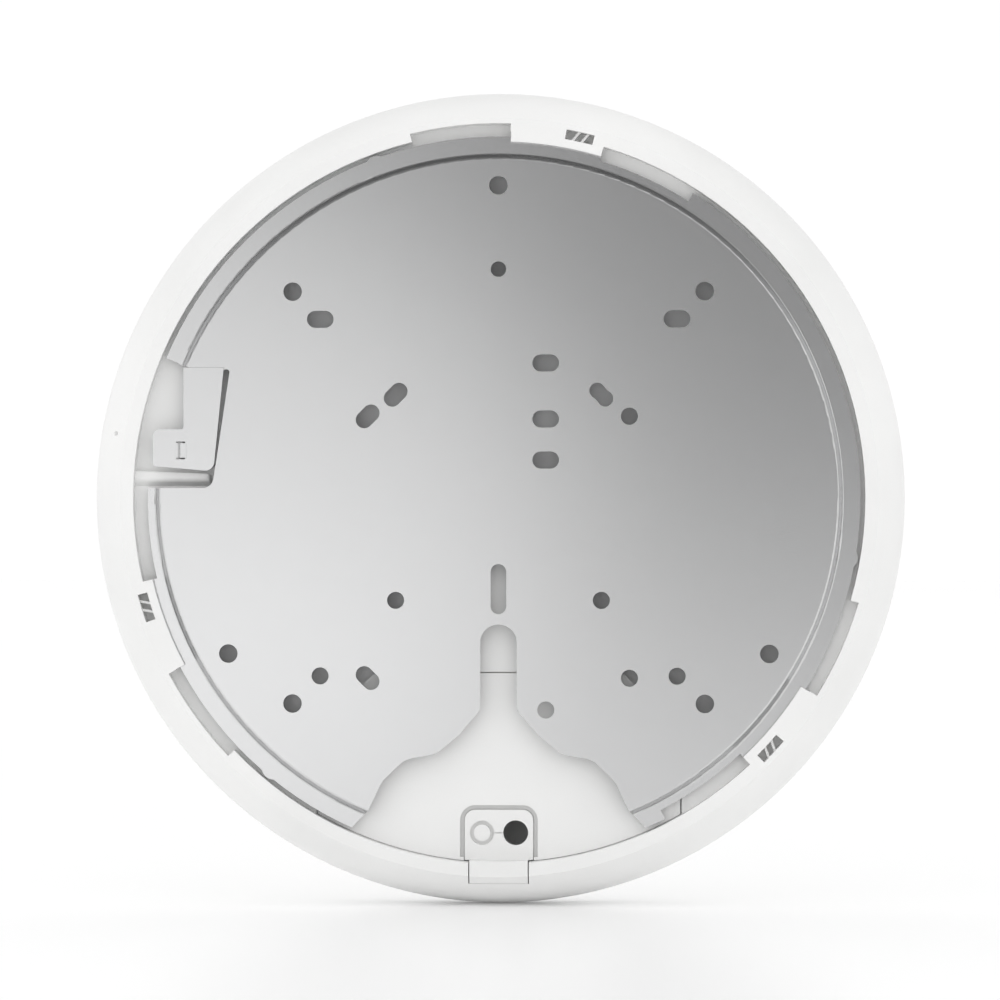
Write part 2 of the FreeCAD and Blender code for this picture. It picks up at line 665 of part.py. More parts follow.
def base_seal():
    """Flat seal between the shell floor and the metal base."""
    low = FLOOR_Y + FLOOR_T
    body = pipe_ring(FLOOR_INNER_R + 0.2, BASE_R - 0.4, low, BASE_Y)
    cuts = [slab(lid_outline(0.8), low - 1, BASE_Y + 1)]
    for step in range(8):
        x, z = spot(BASE_R - 2.6, 22.5 + 45.0 * step)
        cuts.append(drum(1.9, 0, 20, x, z))
    return body.cut(cuts)


def screw(x, z, head_y, head_r, head_h, shank_r, tip_y):
    """Cross-recessed screw whose head faces the front and shank the back."""
    head = Part.makeCylinder(head_r, head_h, V(x, head_y, z), V(0, 1, 0))
    shank = drum(shank_r, tip_y, head_y + 0.1, x, z)
    arm = head_r * 0.55
    cross = [block(x - arm, x + arm, head_y + head_h * 0.45, head_y + head_h + 1, z - 0.25, z + 0.25),
             block(x - 0.25, x + 0.25, head_y + head_h * 0.45, head_y + head_h + 1, z - arm, z + arm)]
    return head.fuse(shank).cut(cross).removeSplitter()


def base_screws():
    shapes = []
    for step in range(8):
        x, z = spot(BASE_R - 2.6, 22.5 + 45.0 * step)
        if abs(x) > LID_HALF or z > 0:
            shapes.append(screw(x, z, BASE_Y + BASE_T, 2.2, 1.6, 1.2, FLOOR_Y + 0.7))
    return shapes


def board_screws():
    top = BOARD_Y + BOARD_T
    return [screw(x, z, top, 2.6, 1.6, 1.2, BOARD_Y - 4.2) for x, z in POSTS]


def main_board():
    top = BOARD_Y + BOARD_T
    body = drum(BOARD_R, BOARD_Y, top)
    half = BAY_HALF + 0.5
    cuts = [block(-half, half, 0, 30, -90, BAY_TOP_Z + 0.5)]
    jack = JACK_HALF + 0.4
    cuts.append(block(-jack, jack, 0, 30, -60, JACK_FACE_Z + JACK_LENGTH + 0.4))
    cuts += base_posts(1.6, BOARD_Y - 1, top + 1)
    return body.cut(cuts)


def shield_can(x, z, width, tall):
    low = BOARD_Y - SHIELD_H
    outer = block(x - width / 2, x + width / 2, low, BOARD_Y, z - tall / 2, z + tall / 2)
    outer = outer.makeFillet(0.6, [e for e in outer.Edges if e.BoundBox.YLength > 1])
    inner = block(x - width / 2 + SHIELD_T, x + width / 2 - SHIELD_T, low + SHIELD_T, BOARD_Y + 1,
                  z - tall / 2 + SHIELD_T, z + tall / 2 - SHIELD_T)
    can = outer.cut(inner)
    holes = []
    for side in (-1, 1):
        for step in range(4):
            hx = x - width / 2 + width * (step + 0.5) / 4
            holes.append(drum(0.6, low - 1, low + 1, hx, z + side * (tall / 2 - 1.6)))
    return can.cut(holes)


def thermal_pads():
    shapes = []
    low = BASE_Y + BASE_T + PEDESTAL
    can = BOARD_Y - SHIELD_H
    for name, x, z, width, tall in SHIELDS:
        shapes.append(block(x - 9, x + 9, low, can, z - 9, z + 9))
        shapes.append(block(x - 7, x + 7, can + SHIELD_T, BOARD_Y - CHIP_H, z - 7, z + 7))
    return shapes


def chip(x, z, width, tall, thick=CHIP_H):
    """Flat package with a pin-one dot, on the back side of the board."""
    body = block(x - width / 2, x + width / 2, BOARD_Y - thick, BOARD_Y, z - tall / 2, z + tall / 2)
    dot = drum(0.5, BOARD_Y - thick - 1, BOARD_Y - thick + 0.15,
               x - width / 2 + 1.4, z + tall / 2 - 1.4)
    return body.cut(dot)


def bay_tray():
    """Open box around the plug, with the jack and the button in its upper wall."""
    low = FLOOR_Y + LID_T + 0.15
    half = BAY_HALF
    body = block(-half, half, low, BAY_DEEP_Y, BAY_LOW_Z, BAY_TOP_Z)
    corner = Part.makeCylinder(LIP_R - 0.7, 40, V(0, 0, 0), V(0, 1, 0))
    body = body.common(corner)
    hollow = block(-half + BAY_WALL, half - BAY_WALL, low - 1, BAY_DEEP_Y - BAY_WALL,
                   BAY_LOW_Z + BAY_WALL, BAY_TOP_Z - BAY_WALL)
    jack = JACK_HALF + 0.2
    mouth = block(-jack, jack, JACK_LOW_Y - 1.0, JACK_HIGH_Y + 0.2, BAY_TOP_Z - 5, BAY_TOP_Z + 5)
    guide = Part.makeCylinder(BUTTON_R + BUTTON_FIT, 8, V(BUTTON_X, BUTTON_Y, BAY_TOP_Z - 4),
                              V(0, 0, 1))
    ears = []
    cuts = [hollow, mouth, guide]
    for side in (-1, 1):
        x = side * (half + 2.6)
        for z in (-56.0, -74.0):
            ears.append(block(min(side * half, side * (half + 5.6)),
                              max(side * half, side * (half + 5.6)), 10.6, BOARD_Y,
                              z - 3, z + 3))
            if z > -60:
                cuts.append(drum(1.3, 9, 20, x, z))
    return fused([body] + ears).cut(cuts).removeSplitter()


def jack_cavity():
    low = JACK_FACE_Z - 1
    high = JACK_FACE_Z + 14.0
    mid = (JACK_LOW_Y + JACK_HIGH_Y) / 2
    return fused([block(-5.9, 5.9, mid - 4.2, mid + 2.6, low, high),
                  block(-3.2, 3.2, mid + 2.5, mid + 4.2, low, high),
                  block(-1.8, 1.8, mid + 4.1, mid + 5.3, low, high)])


def ethernet_jack():
    body = block(-JACK_HALF + 0.3, JACK_HALF - 0.3, JACK_LOW_Y + 0.3, JACK_HIGH_Y - 0.3,
                 JACK_FACE_Z + 0.3, JACK_FACE_Z + JACK_LENGTH - 0.3)
    mid = (JACK_LOW_Y + JACK_HIGH_Y) / 2
    comb = []
    for step in range(8):
        x = (step - 3.5) * 1.02
        comb.append(block(x - 0.25, x + 0.25, mid - 4.8, mid - 2.0, JACK_FACE_Z + 1.0,
                          JACK_FACE_Z + 15.0))
    return body.cut([jack_cavity()] + comb).removeSplitter()


def jack_shell():
    """Thin metal skin around the jack, open at the plug mouth."""
    outer = block(-JACK_HALF, JACK_HALF, JACK_LOW_Y, JACK_HIGH_Y, JACK_FACE_Z,
                  JACK_FACE_Z + JACK_LENGTH)
    inner = block(-JACK_HALF + 0.3, JACK_HALF - 0.3, JACK_LOW_Y + 0.3, JACK_HIGH_Y - 0.3,
                  JACK_FACE_Z + 0.3, JACK_FACE_Z + JACK_LENGTH - 0.3)
    mid = (JACK_LOW_Y + JACK_HIGH_Y) / 2
    mouth = fused([block(-5.9, 5.9, mid - 4.2, mid + 2.6, JACK_FACE_Z - 2, JACK_FACE_Z + 1),
                   block(-3.2, 3.2, mid + 2.5, mid + 5.3, JACK_FACE_Z - 2, JACK_FACE_Z + 1)])
    return outer.cut([inner, mouth]).removeSplitter()


def ethernet_contacts():
    """Eight spring wires that lean into the plug space."""
    mid = (JACK_LOW_Y + JACK_HIGH_Y) / 2
    shapes = []
    for step in range(8):
        x = (step - 3.5) * 1.02
        wire = Part.makePolygon([V(x - 0.18, mid - 4.7, JACK_FACE_Z + 1.4),
                                 V(x - 0.18, mid - 4.35, JACK_FACE_Z + 1.4),
                                 V(x - 0.18, mid - 2.35, JACK_FACE_Z + 13.2),
                                 V(x - 0.18, mid - 2.7, JACK_FACE_Z + 13.4),
                                 V(x - 0.18, mid - 4.7, JACK_FACE_Z + 1.4)])
        shapes.append(Part.Face(wire).extrude(V(0.36, 0, 0)))
    return shapes


def reset_button():
    y = BUTTON_Y
    top = BAY_TOP_Z + 0.3
    stem = Part.makeCylinder(BUTTON_R, 3.6, V(BUTTON_X, y, BAY_TOP_Z - 3.4), V(0, 0, 1))
    collar = Part.makeCylinder(BUTTON_R + 0.6, 0.25, V(BUTTON_X, y, BAY_TOP_Z + 0.05), V(0, 0, 1))
    tip = Part.makeCylinder(0.8, top - BAY_TOP_Z + 0.2, V(BUTTON_X, y, BAY_TOP_Z), V(0, 0, 1))
    return fused([stem, collar, tip])


def reset_switch():
    z = BAY_TOP_Z + 0.5 + BUTTON_TRAVEL + 0.1
    body = block(BUTTON_X - 3, BUTTON_X + 3, BOARD_Y - 3.4, BOARD_Y, z, z + 4.2)
    return body


def jack_transformer():
    top = BOARD_Y + BOARD_T
    body = block(-30, -14, top, top + 6.0, -42, -28)
    pins = []
    for side in (-1, 1):
        for step in range(6):
            x = -22 + side * 8.6
            z = -40.5 + step * 2.2
            pins.append(block(min(x, x - side * 1.0), max(x, x - side * 1.0), top, top + 1.2,
                              z - 0.3, z + 0.3))
    return body, pins


def round_can(x, z, radius, height):
    top = BOARD_Y + BOARD_T
    can = drum(radius, top, top + height, x, z)
    seat = block(x - radius - 0.3, x + radius + 0.3, top, top + 1.2, z - radius - 0.3,
                 z + radius + 0.3)
    return fused([can, seat])


def power_inductors():
    top = BOARD_Y + BOARD_T
    shapes = []
    for x, z in ((24.0, -46.0), (38.0, -34.0), (24.0, -33.0)):
        body = block(x - 5, x + 5, top, top + 4.5, z - 5, z + 5)
        body = body.makeFillet(1.2, [e for e in body.Edges if e.BoundBox.YLength > 4])
        shapes.append(body)
    return shapes


def board_to_led_ribbon():
    """Flat strip from the board socket up to the light board."""
    start_y = BOARD_Y + BOARD_T + 1.6
    end_y = LED_BOARD_Y - 1.0
    wire = rounded_wire([(start_y, 6.0, 0), (start_y, -4.0, 1.5), (end_y, -4.0, 1.5),
                         (end_y, 21.0, 0), (end_y - 0.2, 21.0, 0), (end_y - 0.2, -3.8, 1.3),
                         (start_y + 0.2, -3.8, 1.3), (start_y + 0.2, 6.0, 0)],
                        lambda p: V(-5.0, p.x, p.y))
    return Part.Face(wire).extrude(V(10, 0, 0))


LED_POSTS = [0, 120, 240]


def led_carrier():
    top = LED_BOARD_Y
    low = BOARD_Y + BOARD_T
    shapes = [pipe_ring(22, 33.5, top - 1.4, top)]
    for angle in LED_POSTS:
        x, z = spot(31.0, angle)
        shapes.append(drum(3.0, low, top, x, z))
    body = fused(shapes)
    cuts = [block(-5.6, 5.6, top - 2.4, top + 1, -6, 25.5)]
    for angle in LED_POSTS:
        x, z = spot(31.0, angle)
        cuts.append(drum(1.0, top - 5, top + 1, x, z))
    return body.cut(cuts).removeSplitter()


def led_board():
    high = LED_BOARD_Y + LED_BOARD_T
    body = pipe_ring(20.5, 33.5, LED_BOARD_Y, high)
    cuts = []
    for angle in LED_POSTS:
        x, z = spot(31.0, angle)
        cuts.append(drum(1.25, 0, 40, x, z))
    return body.cut(cuts)


def led_chips():
    low = LED_BOARD_Y + LED_BOARD_T
    chip_block = block(-1.4, 1.4, low, low + 0.7, 26.5, 29.3)
    return around(chip_block, 12, 15)


def led_screws():
    shapes = []
    for angle in LED_POSTS:
        x, z = spot(31.0, angle)
        shapes.append(screw(x, z, LED_BOARD_Y + LED_BOARD_T, 1.7, 0.8, 0.95, LED_BOARD_Y - 4.6))
    return shapes


LOW_BAND = [45, 135, 225, 315]
HIGH_BAND = [0, 90, 157.5, 270]


def antenna(width, tall, low):
    """Stamped radiator with a slot and a feed leg, standing at the top of the ring."""
    face = block(-width / 2, width / 2, low, low + tall, ANTENNA_R, ANTENNA_R + ANTENNA_T)
    cut = block(-width / 2 + 3, width / 2 - 5, low + tall * 0.42, low + tall * 0.58,
                ANTENNA_R - 1, ANTENNA_R + 2)
    mouth = block(-width / 2 - 1, -width / 2 + 4, low + tall * 0.25, low + tall * 0.58,
                  ANTENNA_R - 1, ANTENNA_R + 2)
    roof = block(-width / 2, width / 2, low + tall - ANTENNA_T, low + tall,
                 ANTENNA_R - 4.0, ANTENNA_R + ANTENNA_T)
    return fused([face.cut([cut, mouth]), roof])


def antennas(angles, width, tall):
    low = CARRIER_Y + CARRIER_T + 0.4
    return [turned_by(antenna(width, tall, low), angle) for angle in angles]


def antenna_carrier():
    high = CARRIER_Y + CARRIER_T
    shapes = [pipe_ring(74.5, 83.0, CARRIER_Y, high)]
    for angle in LOW_BAND:
        shapes.append(turned_by(block(-9, 9, high - 0.2, high + 6.6, ANTENNA_R - 1.6,
                                      ANTENNA_R), angle))
    for angle in HIGH_BAND:
        shapes.append(turned_by(block(-5, 5, high - 0.2, high + 5.0, ANTENNA_R - 1.6,
                                      ANTENNA_R), angle))
    for step in range(6):
        x, z = spot(77.5, 30 + 60.0 * step)
        shapes.append(drum(2.4, BASE_Y + BASE_T, CARRIER_Y + 0.2, x, z))
    half = BAY_HALF + 0.8
    return fused(shapes).cut(block(-half, half, 0, 40, -95, -60))


def antenna_lead():
    """Thin lead from a board plug out to the foot of one radiator."""
    plug_y = BOARD_Y + BOARD_T + 1.4
    high = CARRIER_Y + CARRIER_T + LEAD_R + 0.05
    return route([(0, plug_y, 62.6), (0, plug_y, 67.5), (0, high + 2.0, 70.5),
                  (0, high + 2.0, ANTENNA_R - 2.6)], 1.8, LEAD_R)


def lead_plug():
    top = BOARD_Y + BOARD_T
    seat = block(-1.3, 1.3, top, top + 0.5, 59.6, 62.4)
    cap = drum(1.35, top + 0.5, top + 2.1, 0, 61.0)
    collar = block(-0.8, 0.8, top + 0.7, top + 2.0, 61.0, 62.6)
    return fused([seat, cap, collar])


def write_parts():
    os.makedirs("parts", exist_ok=True)
    save("mounting_plate", mounting_plate())
    save("lock_arm", lock_arm())
    save("rear_shell", rear_shell())
    save("jack_cover", jack_cover())
    save("bay_lid", bay_lid())
    save("cable_gland", cable_gland())
    save("front_cover", front_cover())
    save("front_cap", front_cap())
    save("led_light_ring", led_light_ring())
    save("metal_base", metal_base())
    save("base_seal", base_seal())
    save("base_screws", base_screws())
    save("main_board", main_board())
    save("board_screws", board_screws())
    for name, x, z, width, tall in SHIELDS:
        save(name, shield_can(x, z, width, tall))
    save("thermal_pads", thermal_pads())
    save("processor_chip", chip(0, 27, 19, 19))
    save("radio_chips", [chip(-36.5, 2, 15, 15), chip(36.5, 2, 15, 15)])
    save("memory_chips", [chip(-10, 43, 12, 8, 1.1), chip(10, 43, 12, 8, 1.1)])
    save("bay_tray", bay_tray())
    save("ethernet_jack", ethernet_jack())
    save("jack_shell", jack_shell())
    save("ethernet_contacts", ethernet_contacts())
    save("reset_button", reset_button())
    save("reset_switch", reset_switch())
    body, pins = jack_transformer()
    save("jack_transformer", fused([body] + pins))
    save("power_inductors", power_inductors())
    save("capacitors", [round_can(-40, -28, 3.3, 8.0), round_can(-40, -16, 3.3, 8.0),
                        round_can(-48, -22, 3.3, 8.0), round_can(38, -20, 4.0, 8.5)])
    save("led_ribbon", board_to_led_ribbon())
    save("led_carrier", led_carrier())
    save("led_board", led_board())
    save("led_chips", led_chips())
    save("led_screws", led_screws())
    save("antenna_carrier", antenna_carrier())
    save("low_band_antennas", antennas(LOW_BAND, 30, 7.0))
    save("high_band_antennas", antennas(HIGH_BAND, 17, 5.4))
    save("low_band_leads", [turned_by(antenna_lead(), angle) for angle in LOW_BAND])
    save("high_band_leads", [turned_by(antenna_lead(), angle) for angle in HIGH_BAND])
    plugs = [turned_by(lead_plug(), angle) for angle in LOW_BAND + HIGH_BAND]
    save("lead_plugs", plugs)


write_parts()
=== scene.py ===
import bpy
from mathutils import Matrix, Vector

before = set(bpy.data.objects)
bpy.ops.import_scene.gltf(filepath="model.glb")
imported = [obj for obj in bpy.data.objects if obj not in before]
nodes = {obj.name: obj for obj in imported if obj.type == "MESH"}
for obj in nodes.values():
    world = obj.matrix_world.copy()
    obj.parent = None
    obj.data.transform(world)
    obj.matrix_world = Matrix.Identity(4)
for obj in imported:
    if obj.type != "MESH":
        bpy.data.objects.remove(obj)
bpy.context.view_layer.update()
scene = bpy.context.scene

# Object, in metres
OUTER_R = 0.0985
PLATE_STEP_R = 0.08215
# Depth along Y past which the lid's groove gets painted shade
LID_SHADE_DEPTH_Y = 0.0050

# Surround: directions point from the object to the surround
PATCH_SIDE = (0.162, -1.0, 0.062)
PATCH_EDGES = (0.905, 0.991)
PATCH_LEVELS = (1.013, 0.156)
ROOF_EDGES = (0.30, 0.70)
ROOF_LEVELS = (1.0, 0.35)
DIM_SIDE = (0.30, 0.80, -0.50)
FILL = 1.09
FILL_LEVELS = (FILL, FILL * 0.5)

# Camera and lamp
LENS_MM = 150.0
EYE = (0.0245, -1.0, -0.007)
EYE_AIM = (0.00038, 0.0, -0.0006)
LAMP = (-0.117, -0.736, 0.002)
LAMP_AIM = (-0.03, 0.0, -0.03)
LAMP_SIZE = 0.26
LAMP_POWER = 0.08


# ------------------------------------------------------------------ node helpers

class Sheet:
    """A small wrapper that adds shader nodes to one material."""

    def __init__(self, name):
        self.material = bpy.data.materials.new(name)
        self.material.use_nodes = True
        self.tree = self.material.node_tree
        self.shader = self.tree.nodes["Principled BSDF"]
        self.place = self.add("ShaderNodeTexCoord").outputs["Object"]

    def add(self, kind, **settings):
        node = self.tree.nodes.new(kind)
        for key, value in settings.items():
            setattr(node, key, value)
        return node

    def link(self, a, b):
        self.tree.links.new(a, b)

    def noise(self, scale, detail=3.0, rough=0.5):
        node = self.add("ShaderNodeTexNoise")
        node.inputs["Scale"].default_value = scale
        node.inputs["Detail"].default_value = detail
        node.inputs["Roughness"].default_value = rough
        self.link(self.place, node.inputs["Vector"])
        return node.outputs["Fac"]

    def cells(self, scale, feature="F1", output="Distance", stretch=None):
        node = self.add("ShaderNodeTexVoronoi", feature=feature)
        node.inputs["Scale"].default_value = scale
        self.link(self.stretched(stretch), node.inputs["Vector"])
        return node.outputs[output]

    def stretched(self, stretch):
        if stretch is None:
            return self.place
        node = self.add("ShaderNodeMapping")
        node.inputs["Scale"].default_value = stretch
        self.link(self.place, node.inputs["Vector"])
        return node.outputs["Vector"]

    def along(self, axis):
        """The object's own coordinate along one axis."""
        node = self.add("ShaderNodeSeparateXYZ")
        self.link(self.place, node.inputs["Vector"])
        return node.outputs[axis]

    def vector_math(self, operation, vector, other=None):
        node = self.add("ShaderNodeVectorMath", operation=operation)
        self.link(vector, node.inputs[0])
        if other is not None:
            node.inputs[1].default_value = other
        return node.outputs["Value" if operation == "LENGTH" else "Vector"]

    def math(self, operation, a, b=None):
        node = self.add("ShaderNodeMath", operation=operation)
        self.feed(node.inputs[0], a)
        if b is not None:
            self.feed(node.inputs[1], b)
        return node.outputs["Value"]

    def ramp(self, fac, low, high, start=0.3, end=0.7):
        node = self.add("ShaderNodeMapRange", clamp=True)
        node.inputs["From Min"].default_value = start
        node.inputs["From Max"].default_value = end
        node.inputs["To Min"].default_value = low
        node.inputs["To Max"].default_value = high
        self.link(fac, node.inputs["Value"])
        return node.outputs["Result"]

    def step_shadow_band(self, radius):
        """A narrow band of painted shadow round the Y axis at this radius, strongest towards the top
        of the plate.
        """
        flat = self.vector_math("MULTIPLY", self.place, (1.0, 0.0, 1.0))
        reach = self.vector_math("LENGTH", flat)
        off = self.math("ABSOLUTE", self.math("SUBTRACT", reach, radius))
        near = self.ramp(off, 1.0, 0.0, 0.0004, 0.0010)
        high = self.ramp(self.along("Z"), 0.42, 1.0, 0.040, 0.078)
        return self.math("MULTIPLY", near, high)

    def mix(self, fac, a, b):
        node = self.add("ShaderNodeMix", data_type="RGBA")
        self.feed(node.inputs["Factor"], fac)
        self.feed(node.inputs["A"], a)
        self.feed(node.inputs["B"], b)
        return node.outputs["Result"]

    def feed(self, socket, value):
        if isinstance(value, (int, float)):
            socket.default_value = value
        elif isinstance(value, tuple):
            socket.default_value = (*value, 1.0) if len(value) == 3 else value
        else:
            self.link(value, socket)

    def bump(self, height, strength, depth, under=None):
        node = self.add("ShaderNodeBump")
        node.inputs["Strength"].default_value = strength
        node.inputs["Distance"].default_value = depth
        self.link(height, node.inputs["Height"])
        if under is not None:
            self.link(under, node.inputs["Normal"])
        return node.outputs["Normal"]

    def finish(self, colour, rough, metal=0.0, normal=None, **extra):
        put = {"Base Color": colour, "Roughness": rough, "Metallic": metal}
        for key, value in put.items():
            self.feed(self.shader.inputs[key], value)
        for key, value in extra.items():
            self.feed(self.shader.inputs[key.replace("_", " ")], value)
        if normal is not None:
            self.link(normal, self.shader.inputs["Normal"])
        return self.material


def shade(colour, factor):
    return tuple(min(1.0, c * factor) for c in colour)


def moulded(name, colour, rough=0.42, grain=2600.0, strength=0.25, drift=0.03, shade_depth=None):
    """Spark-textured moulding with a faint drift of tone and gloss, and painted shade past a given
    depth in Y.
    """
    s = Sheet(name)
    broad = s.noise(28.0, 2.0)
    fine = s.noise(grain, 2.0)
    tone = s.mix(s.ramp(broad, 0.0, 1.0), shade(colour, 1.0 - drift), shade(colour, 1.0 + drift))
    tone = s.mix(s.ramp(fine, 0.0, 0.12), tone, shade(colour, 0.9))
    if shade_depth is not None:
        # Painted shade: darker tone beyond this depth along Y, where the groove lies
        groove_shade = s.ramp(s.along("Y"), 0.0, 1.0, shade_depth, shade_depth + 0.0003)
        tone = s.mix(groove_shade, tone, shade(colour, 0.84))
    gloss = s.ramp(s.noise(90.0, 4.0), rough - 0.05, rough + 0.06)
    return s.finish(tone, gloss, 0.0, s.bump(fine, strength, 0.00003))


def sheet_metal(name, colour, rough, grain=1800.0, uneven=1.0, step_shadow_radius=None):
    """Plated sheet: soft spangle, fine grain, uneven gloss and, at a given radius, a painted shadow
    line along the pressed step.
    """
    s = Sheet(name)
    spangle = s.cells(260.0, output="Color")
    grey = s.add("ShaderNodeRGBToBW")
    s.link(spangle, grey.inputs["Color"])
    fine = s.noise(grain, 3.0, 0.6)
    spread = 0.015 * uneven
    tone = s.mix(s.ramp(grey.outputs["Val"], 0.0, 1.0, 0.2, 0.8),
                 shade(colour, 1 - spread), shade(colour, 1 + spread))
    tone = s.mix(s.ramp(s.noise(35.0, 3.0), 0.0, 0.25 * uneven), tone, shade(colour, 0.93))
    if step_shadow_radius is not None:
        # Painted shadow: darkens the tone along the step radius, most towards the top
        tone = s.mix(s.step_shadow_band(step_shadow_radius), tone, shade(colour, 0.35))
    gloss = s.ramp(fine, rough - 0.04 * uneven, rough + 0.04 * uneven)
    return s.finish(tone, gloss, 1.0, s.bump(fine, 0.2, 0.00002))


def cast_metal(name, colour, rough=0.55):
    """Die-cast metal with a pitted, half-matt skin."""
    s = Sheet(name)
    pits = s.cells(1500.0)
    fine = s.noise(900.0, 4.0, 0.65)
    tone = s.mix(s.ramp(s.noise(40.0, 4.0), 0.0, 1.0), shade(colour, 0.88), shade(colour, 1.1))
    gloss = s.ramp(fine, rough - 0.08, rough + 0.1)
    normal = s.bump(fine, 0.35, 0.00006, s.bump(pits, 0.15, 0.00004))
    return s.finish(tone, gloss, 0.35, normal)


def circuit_board(name, colour, copper, silk):
    """Solder mask over copper runs, with bare pads and a few printed ticks."""
    s = Sheet(name)
    runs = s.cells(330.0, "DISTANCE_TO_EDGE", "Distance", (1.0, 1.0, 0.35))
    cross = s.cells(290.0, "DISTANCE_TO_EDGE", "Distance", (0.35, 1.0, 1.0))
    track = s.ramp(runs, 1.0, 0.0, 0.04, 0.1)
    track_two = s.ramp(cross, 1.0, 0.0, 0.04, 0.1)
    both = s.math("MAXIMUM", track, track_two)
    vias = s.ramp(s.cells(480.0), 1.0, 0.0, 0.10, 0.14)
    tone = s.mix(both, colour, shade(colour, 1.9))
    tone = s.mix(vias, tone, copper)
    ticks = s.ramp(s.cells(150.0), 1.0, 0.0, 0.035, 0.045)
    tone = s.mix(ticks, tone, silk)
    gloss = s.ramp(s.noise(400.0, 3.0), 0.28, 0.42)
    return s.finish(tone, gloss, 0.0, s.bump(both, 0.5, 0.00003))


def package(name, colour, rough=0.5):
    """Moulded epoxy package with fine filler grain."""
    s = Sheet(name)
    grain = s.noise(5200.0, 2.0)
    specks = s.ramp(s.cells(3200.0), 0.3, 0.0, 0.08, 0.2)
    tone = s.mix(specks, colour, shade(colour, 2.4))
    gloss = s.ramp(s.noise(300.0, 4.0), rough - 0.07, rough + 0.09)
    return s.finish(tone, gloss, 0.0, s.bump(grain, 0.3, 0.00003))


def soft(name, colour, rough=0.75, cell=1400.0):
    """Foam or silicone with open cells."""
    s = Sheet(name)
    pores = s.cells(cell)
    tone = s.mix(s.ramp(pores, 0.4, 0.0, 0.1, 0.5), colour, shade(colour, 0.6))
    gloss = s.ramp(s.noise(200.0, 3.0), rough - 0.1, rough + 0.1)
    return s.finish(tone, gloss, 0.0, s.bump(pores, 0.4, 0.00008))


def frosted(name, colour):
    """Frosted clear plastic, cloudy inside, unlit."""
    s = Sheet(name)
    cloud = s.noise(160.0, 4.0)
    fine = s.noise(3800.0, 2.0)
    tone = s.mix(s.ramp(cloud, 0.0, 1.0), shade(colour, 0.95), shade(colour, 1.04))
    gloss = s.ramp(fine, 0.28, 0.4)
    return s.finish(tone, gloss, 0.0, s.bump(fine, 0.15, 0.00003),
                    Transmission_Weight=0.35, IOR=1.49)


def jacket(name, colour):
    """Lead jacket with a fine ripple."""
    s = Sheet(name)
    ripple = s.noise(2400.0, 3.0)
    tone = s.mix(s.ramp(ripple, 0.0, 1.0), shade(colour, 0.85), shade(colour, 1.25))
    gloss = s.ramp(s.noise(500.0, 2.0), 0.35, 0.5)
    return s.finish(tone, gloss, 0.0, s.bump(ripple, 0.2, 0.00003))


def film(name, colour):
    """Amber film with parallel copper lines under it."""
    s = Sheet(name)
    lines = s.add("ShaderNodeTexWave", wave_type="BANDS", bands_direction="X")
    lines.inputs["Scale"].default_value = 210.0
    s.link(s.place, lines.inputs["Vector"])
    stripe = s.ramp(lines.outputs["Fac"], 0.0, 1.0, 0.35, 0.6)
    tone = s.mix(stripe, colour, shade(colour, 0.55))
    gloss = s.ramp(s.noise(300.0, 3.0), 0.18, 0.3)
    return s.finish(tone, gloss, 0.0, s.bump(stripe, 0.3, 0.00003))


# ------------------------------------------------------------------ finishes

WHITE = (0.885, 0.885, 0.878)
SATIN = (0.762, 0.764, 0.767)
SCREW = (0.5, 0.5, 0.5)
TIN = (0.66, 0.66, 0.63)
BRASS = (0.80, 0.68, 0.42)

